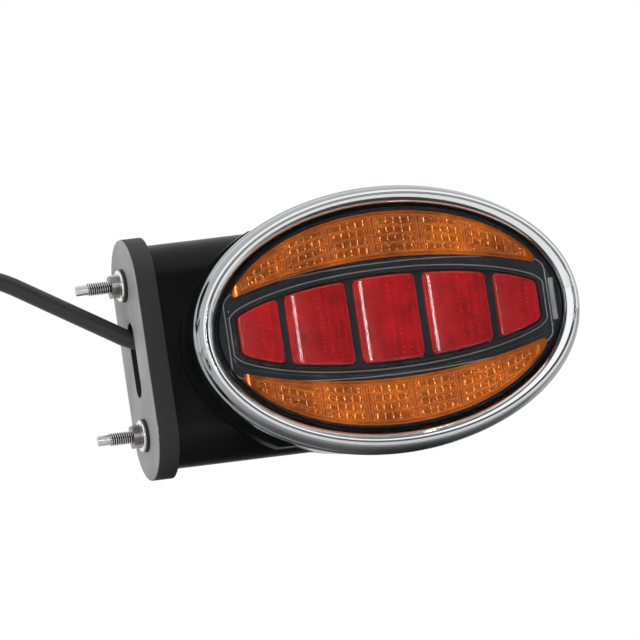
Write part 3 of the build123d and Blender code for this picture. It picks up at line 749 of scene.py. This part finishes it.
def amber_height(side, start):
    def height(x, y, s, t, edge):
        level = side * y
        low, high = lower_arc(x), upper_oval(x)
        middle = (low + high) / 2
        room = (high - low) / 2
        border = min(1.0, max(0.0, (room - abs(level - middle) - 1.8) / 0.8))
        border *= min(1.0, max(0.0, (AMBER_REACH - abs(x) - 4.0) / 1.0))
        along = (level - middle + 1.5 * ROW) % ROW - ROW / 2
        row = ridge(along, 0.6) if abs(level - middle) < 1.6 * ROW else 0.0
        cell = (x - start) % CELL - CELL / 2
        dash = 1.0 if abs(cell) < CELL * 0.36 else 0.25
        upright = ridge(abs(cell) - CELL / 2, 0.45)
        source = (x - start + SOURCE_PITCH / 2) % SOURCE_PITCH - SOURCE_PITCH / 2
        flutes = 0.0
        if abs(source) < 2.4:
            flutes = ridge((source + 0.6) % 1.2 - 0.6, 0.6)
        ripple = noise.noise(Vector((x * 0.9, y * 0.9, 3.0)))
        fine = 0.45 * row * dash + 0.16 * upright + 0.5 * flutes + 0.12 * ripple
        lip = min(1.0, edge / 0.05)
        return AMBER_TOP - 0.5 * (1.0 - lip) ** 2 - 0.8 * border + border * fine

    return height


for name, side, start in (("upper", 1.0, -44.0), ("lower", -1.0, -36.0)):
    shape = relief(420, 72, amber_outline(side), amber_height(side, start))
    piece(f"amber_optic_{name}", shape, AMBER, (f"amber_{name}",), crease=50.0)
print("amber optics: upper and lower")

# %% [markdown]
# ## Studs
# Two studs with an M6 thread stand out of the pad. The thread is a pointed profile of one pitch,
# turned about the stud's axis while it moves along it. The tips have flutes, to help them find the
# hole. The hexagon heads sit inside the arm's foot.

# %% Studs
STUD_HEIGHTS = {"upper": STUD_SPACING / 2, "lower": -STUD_SPACING / 2}
THREAD_RADIUS = 3.0 * MM
ROOT_RADIUS = 2.48 * MM
PITCH = 1.0 * MM
THREAD_TURNS = 15
STEPS = 28
THREAD_END = -16.6 * MM
TIP_END = -22.1 * MM
HEAD_TOP = 14.2 * MM
SHANK_START = -1.9 * MM
SHANK_RADIUS = 2.95 * MM
FOOT = 10.2 * MM


def cylinder(shape, x0, x1, radius, z, segments=32, radius_end=None):
    lying = Matrix.Rotation(math.radians(90.0), 4, "Y")
    place = Matrix.Translation(((x0 + x1) / 2, 0.0, z)) @ lying
    return bmesh.ops.create_cone(shape, cap_ends=True, segments=segments, radius1=radius,
                                 radius2=radius if radius_end is None else radius_end,
                                 depth=x1 - x0, matrix=place)


def thread(shape, z):
    flank = PITCH * 0.44
    first = [
        shape.verts.new((THREAD_END + shift, 0.0, z + radius))
        for shift, radius in ((-flank, ROOT_RADIUS), (-0.06 * MM, THREAD_RADIUS),
                              (0.06 * MM, THREAD_RADIUS), (flank, ROOT_RADIUS))
    ]
    edges = [shape.edges.new(pair) for pair in zip(first, first[1:])]
    bmesh.ops.spin(shape, geom=first + edges, cent=(0.0, 0.0, z), axis=(1.0, 0.0, 0.0),
                   dvec=(PITCH / STEPS, 0.0, 0.0), angle=2 * math.pi * THREAD_TURNS,
                   steps=STEPS * THREAD_TURNS)


def fluted_tip(shape, z):
    cylinder(shape, TIP_END, THREAD_END + 0.3 * MM, 1.7 * MM, z, 24, 2.5 * MM)
    for turn in range(4):
        place = Matrix.Rotation(math.radians(45.0 + 90.0 * turn), 4, "X")
        wing = bmesh.ops.create_cube(shape, size=1.0, matrix=(
            Matrix.Translation((0.0, 0.0, z)) @ place
            @ Matrix.Translation((TIP_END + 2.6 * MM, 0.0, 1.75 * MM))
            @ Matrix.Diagonal((5.2 * MM, 1.5 * MM, 1.5 * MM, 1.0))))
        bmesh.ops.bevel(shape, geom=list({e for v in wing["verts"] for e in v.link_edges}),
                        offset=0.35 * MM, segments=2, affect="EDGES", profile=0.5, material=-1)


for name, z in STUD_HEIGHTS.items():
    shape = bmesh.new()
    cylinder(shape, THREAD_END - 0.4 * MM, SHANK_START, 2.4 * MM, z)
    cylinder(shape, SHANK_START, FOOT, SHANK_RADIUS, z)
    cylinder(shape, FOOT, HEAD_TOP, 5.75 * MM, z, 6)
    thread(shape, z)
    bmesh.ops.recalc_face_normals(shape, faces=shape.faces)
    stands = ("studs",) if name == "upper" else ()
    piece(f"stud_{name}", shape, SHADED_THREAD_ZINC, stands, crease=30.0)
    tip = bmesh.new()
    fluted_tip(tip, z)
    bmesh.ops.recalc_face_normals(tip, faces=tip.faces)
    piece(f"stud_tip_{name}", tip, ZINC, crease=30.0)
print("studs:", list(STUD_HEIGHTS))

# %% [markdown]
# ## Nuts and washers
# Pressed nuts have softened corners and a turned-down flange. The CAD shape is right, so a joined
# copy gets bevels. Each rides on its own body, so the nut turns off its stud and takes its washer.

# %% Nuts and washers
for name in STUD_HEIGHTS:
    moulded(f"nut_{name}", SHADED_NUT_ZINC, 0.45, f"nut_{name}", 25.0)
    moulded(f"washer_{name}", RUBBER_BLACK, 0.3, f"washer_{name}")
print("nuts and washers on their own bodies")

# %% [markdown]
# ## Cable
# The cable is one smooth spline. It leaves the bowl's bush inside the arm, runs out through the
# slot, rises away to the side and comes down to where the lamp's lower edge rests. What is left of
# it is put away in a neat coil: two turns beside each other and a last half turn on top.

# %% Cable
CABLE_RADIUS = 4.0 * MM
FLOOR = -60.0 * MM
CABLE_POINTS = [
    (0.0320, 0.0, 0.0070), (0.0164, 0.0, 0.0070), (0.0076, 0.0, 0.0070), (-0.0008, 0.0, 0.0093),
    (-0.0082, 0.0, 0.0138), (-0.0330, 0.0, 0.0289), (-0.0660, 0.0, 0.0490),
    (-0.0920, 0.005, 0.0380), (-0.1030, 0.013, 0.0100), (-0.1090, 0.022, -0.0200),
    (-0.1190, 0.031, -0.0440), (-0.1390, 0.036, -0.0560),
]
COIL_CENTRE = (-0.162, -0.012)
COIL_TURNS = 2.5
POINTS_PER_TURN = 14


def eased(value, start, end):
    share = min(1.0, max(0.0, (value - start) / (end - start)))
    return share * share * (3.0 - 2.0 * share)


def coil_point(turn):
    radius = 0.048 - 0.008 * eased(turn, 0.8, 1.0) + 0.004 * eased(turn, 1.9, 2.05)
    outside = radius / math.cos(math.pi / POINTS_PER_TURN)
    rise = CABLE_RADIUS * math.sqrt(3.0) * eased(turn, 1.75, 1.95)
    angle = math.pi / 2 + 2.0 * math.pi * turn
    return (COIL_CENTRE[0] + outside * math.cos(angle), COIL_CENTRE[1] + outside * math.sin(angle),
            FLOOR + CABLE_RADIUS + rise)


def smooth_line(name, points, radius, material):
    line = bpy.data.curves.new(name, "CURVE")
    line.dimensions = "3D"
    spline = line.splines.new("NURBS")
    spline.points.add(len(points) - 1)
    for point, place in zip(spline.points, points):
        point.co = (*place, 1.0)
    spline.order_u = 3
    spline.use_endpoint_u = True
    line.resolution_u = 8
    line.bevel_depth = radius
    line.bevel_resolution = 6
    line.use_fill_caps = True
    line.materials.append(material)
    item = bpy.data.objects.new(name, line)
    bpy.context.scene.collection.objects.link(item)
    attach(item, "lamp")
    return item


COIL_STEPS = round(COIL_TURNS * POINTS_PER_TURN)
coil_points = [coil_point(step / POINTS_PER_TURN) for step in range(COIL_STEPS + 1)]
cable = smooth_line("cable", CABLE_POINTS + coil_points, CABLE_RADIUS, CABLE_BLACK)
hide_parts("cable_tube", "cable_coil")
CORE_COLOURS = {
    "brown": (0.12, 0.035, 0.012), "yellow": (0.8, 0.6, 0.02), "green": (0.02, 0.3, 0.06),
    "white": (0.8, 0.8, 0.8), "red": (0.6, 0.02, 0.02),
}
for index, (name, colour) in enumerate(CORE_COLOURS.items()):
    side = -0.056 + (index - 2) * 1.8 * MM
    points = [(-0.163, side, -0.0491), (-0.152, side, -0.0491), (-0.1300, side, -0.0491)]
    insulation = finish(f"core_{name}", colour, 0.4)
    smooth_line(f"core_{name}", points, 0.9 * MM, insulation)
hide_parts("cable_cores")
print("cable points:", len(CABLE_POINTS) + len(coil_points))

# %% [markdown]
# ## Studio
# The lamp rests on its lower edge on a pale floor. The camera looks from just under the floor's
# level, so the floor is open from below and closed from above. The surroundings are white to the
# camera and to reflections, except in front of the lamp, where a studio is dark behind the camera:
# that contrast is what makes chrome look like chrome.

# %% Floor and surroundings
def make_floor():
    shape = bmesh.new()
    place = Matrix.Translation((0.0, 0.0, FLOOR - 0.1 * MM))
    bmesh.ops.create_grid(shape, x_segments=1, y_segments=1, size=3.0, matrix=place)
    mesh = bpy.data.meshes.new("floor")
    shape.to_mesh(mesh)
    shape.free()
    floor = bpy.data.objects.new("floor", mesh)
    bpy.context.scene.collection.objects.link(floor)
    material = bpy.data.materials.new("floor_paper")
    material.use_nodes = True
    nodes, links, shader = parts_of(material)
    shader.inputs["Base Color"].default_value = (0.86, 0.86, 0.86, 1.0)
    shader.inputs["Roughness"].default_value = 0.7
    under = add(nodes, "ShaderNodeNewGeometry")
    clear = add(nodes, "ShaderNodeBsdfTransparent")
    blend = add(nodes, "ShaderNodeMixShader")
    links.new(under.outputs["Backfacing"], blend.inputs["Fac"])
    links.new(shader.outputs["BSDF"], blend.inputs[1])
    links.new(clear.outputs["BSDF"], blend.inputs[2])
    links.new(blend.outputs["Shader"], nodes["Material Output"].inputs["Surface"])
    mesh.materials.append(material)
    return floor


def along(nodes, links, direction, axis):
    node = add(nodes, "ShaderNodeVectorMath", operation="DOT_PRODUCT")
    links.new(direction, node.inputs[0])
    node.inputs[1].default_value = axis
    return node.outputs["Value"]


DARK_WIDTH = 0.7
DARK_HEIGHT = 0.42
DARK_SIDE = (0.968, 0.251, 0.0)
DARK_AHEAD = (0.25, -0.963, 0.1)
DARK_RISE = 0.1


def dark_front(nodes, links, direction, level):
    """One inside an oval of directions in front of the lamp, nothing outside it."""
    side = along(nodes, links, direction, DARK_SIDE)
    ahead = along(nodes, links, direction, DARK_AHEAD)
    wide = calculated(nodes, links, "DIVIDE", side, DARK_WIDTH)
    raised = calculated(nodes, links, "SUBTRACT", level, DARK_RISE)
    high = calculated(nodes, links, "DIVIDE", raised, DARK_HEIGHT)
    wide = calculated(nodes, links, "MULTIPLY", wide, wide)
    high = calculated(nodes, links, "MULTIPLY", high, high)
    reach = calculated(nodes, links, "ADD", wide, high)
    inside = add(nodes, "ShaderNodeMapRange", interpolation_type="SMOOTHSTEP")
    inside.inputs["From Min"].default_value = 1.3
    inside.inputs["From Max"].default_value = 0.6
    links.new(reach, inside.inputs["Value"])
    facing = calculated(nodes, links, "GREATER_THAN", ahead, 0.0)
    return calculated(nodes, links, "MULTIPLY", inside.outputs["Result"], facing)


def make_world():
    world = bpy.data.worlds.new("studio")
    bpy.context.scene.world = world
    world.use_nodes = True
    nodes, links = world.node_tree.nodes, world.node_tree.links
    nodes.clear()
    direction = add(nodes, "ShaderNodeTexCoord")
    split = add(nodes, "ShaderNodeSeparateXYZ")
    links.new(direction.outputs["Generated"], split.inputs["Vector"])
    front = dark_front(nodes, links, direction.outputs["Generated"], split.outputs["Z"])
    seen = mixed(links, nodes, front, (1.0, 1.0, 1.0, 1.0), (0.06, 0.06, 0.065, 1.0))
    path = add(nodes, "ShaderNodeLightPath")
    glossy = add(nodes, "ShaderNodeBackground")
    links.new(seen, glossy.inputs["Color"])
    white = add(nodes, "ShaderNodeBackground")
    white.inputs["Color"].default_value = (1.0, 1.0, 1.0, 1.0)
    soft = add(nodes, "ShaderNodeBackground")
    soft.inputs["Color"].default_value = (1.0, 1.0, 1.0, 1.0)
    soft.inputs["Strength"].default_value = 0.4
    one = add(nodes, "ShaderNodeMixShader")
    two = add(nodes, "ShaderNodeMixShader")
    through = add(nodes, "ShaderNodeMath", operation="MAXIMUM")
    links.new(path.outputs["Is Glossy Ray"], through.inputs[0])
    links.new(path.outputs["Is Transmission Ray"], through.inputs[1])
    links.new(through.outputs["Value"], one.inputs["Fac"])
    links.new(soft.outputs["Background"], one.inputs[1])
    links.new(glossy.outputs["Background"], one.inputs[2])
    links.new(path.outputs["Is Camera Ray"], two.inputs["Fac"])
    links.new(one.outputs["Shader"], two.inputs[1])
    links.new(white.outputs["Background"], two.inputs[2])
    out = add(nodes, "ShaderNodeOutputWorld")
    links.new(two.outputs["Shader"], out.inputs["Surface"])
    bpy.context.scene.view_settings.view_transform = "Standard"


make_floor()
make_world()
print("floor at", FLOOR)

# %% [markdown]
# ## Lamps
# Two large soft lamps, one above and one to the left, shape the arm and the pad. One narrow upright
# lamp in front stands where the bulging red blocks send it back to the camera as a bright stripe.

# %% Lamps
def area_lamp(name, place, target, width, height, power, mirrored=False):
    data = bpy.data.lights.new(name, "AREA")
    data.shape = "RECTANGLE"
    data.size, data.size_y = width, height
    data.energy = power
    item = bpy.data.objects.new(name, data)
    bpy.context.scene.collection.objects.link(item)
    item.location = place
    aim = Vector(target) - Vector(place)
    item.rotation_euler = aim.to_track_quat("-Z", "Y").to_euler()
    item.visible_glossy = mirrored
    item.visible_transmission = mirrored
    return item


area_lamp("top_lamp", (0.0, -0.2, 1.2), (0.08, 0.0, 0.0), 1.0, 1.0, 9.0)
area_lamp("left_lamp", (-1.2, -0.3, 0.2), (0.0, 0.0, 0.0), 0.8, 0.8, 8.0)
area_lamp("stripe_lamp", (-0.055, -2.05, 0.2), (0.1, -0.05, 0.0), 0.075, 0.5, 2.2, True)
print("lamps: top, left and stripe")

# %% End
print("scene built")
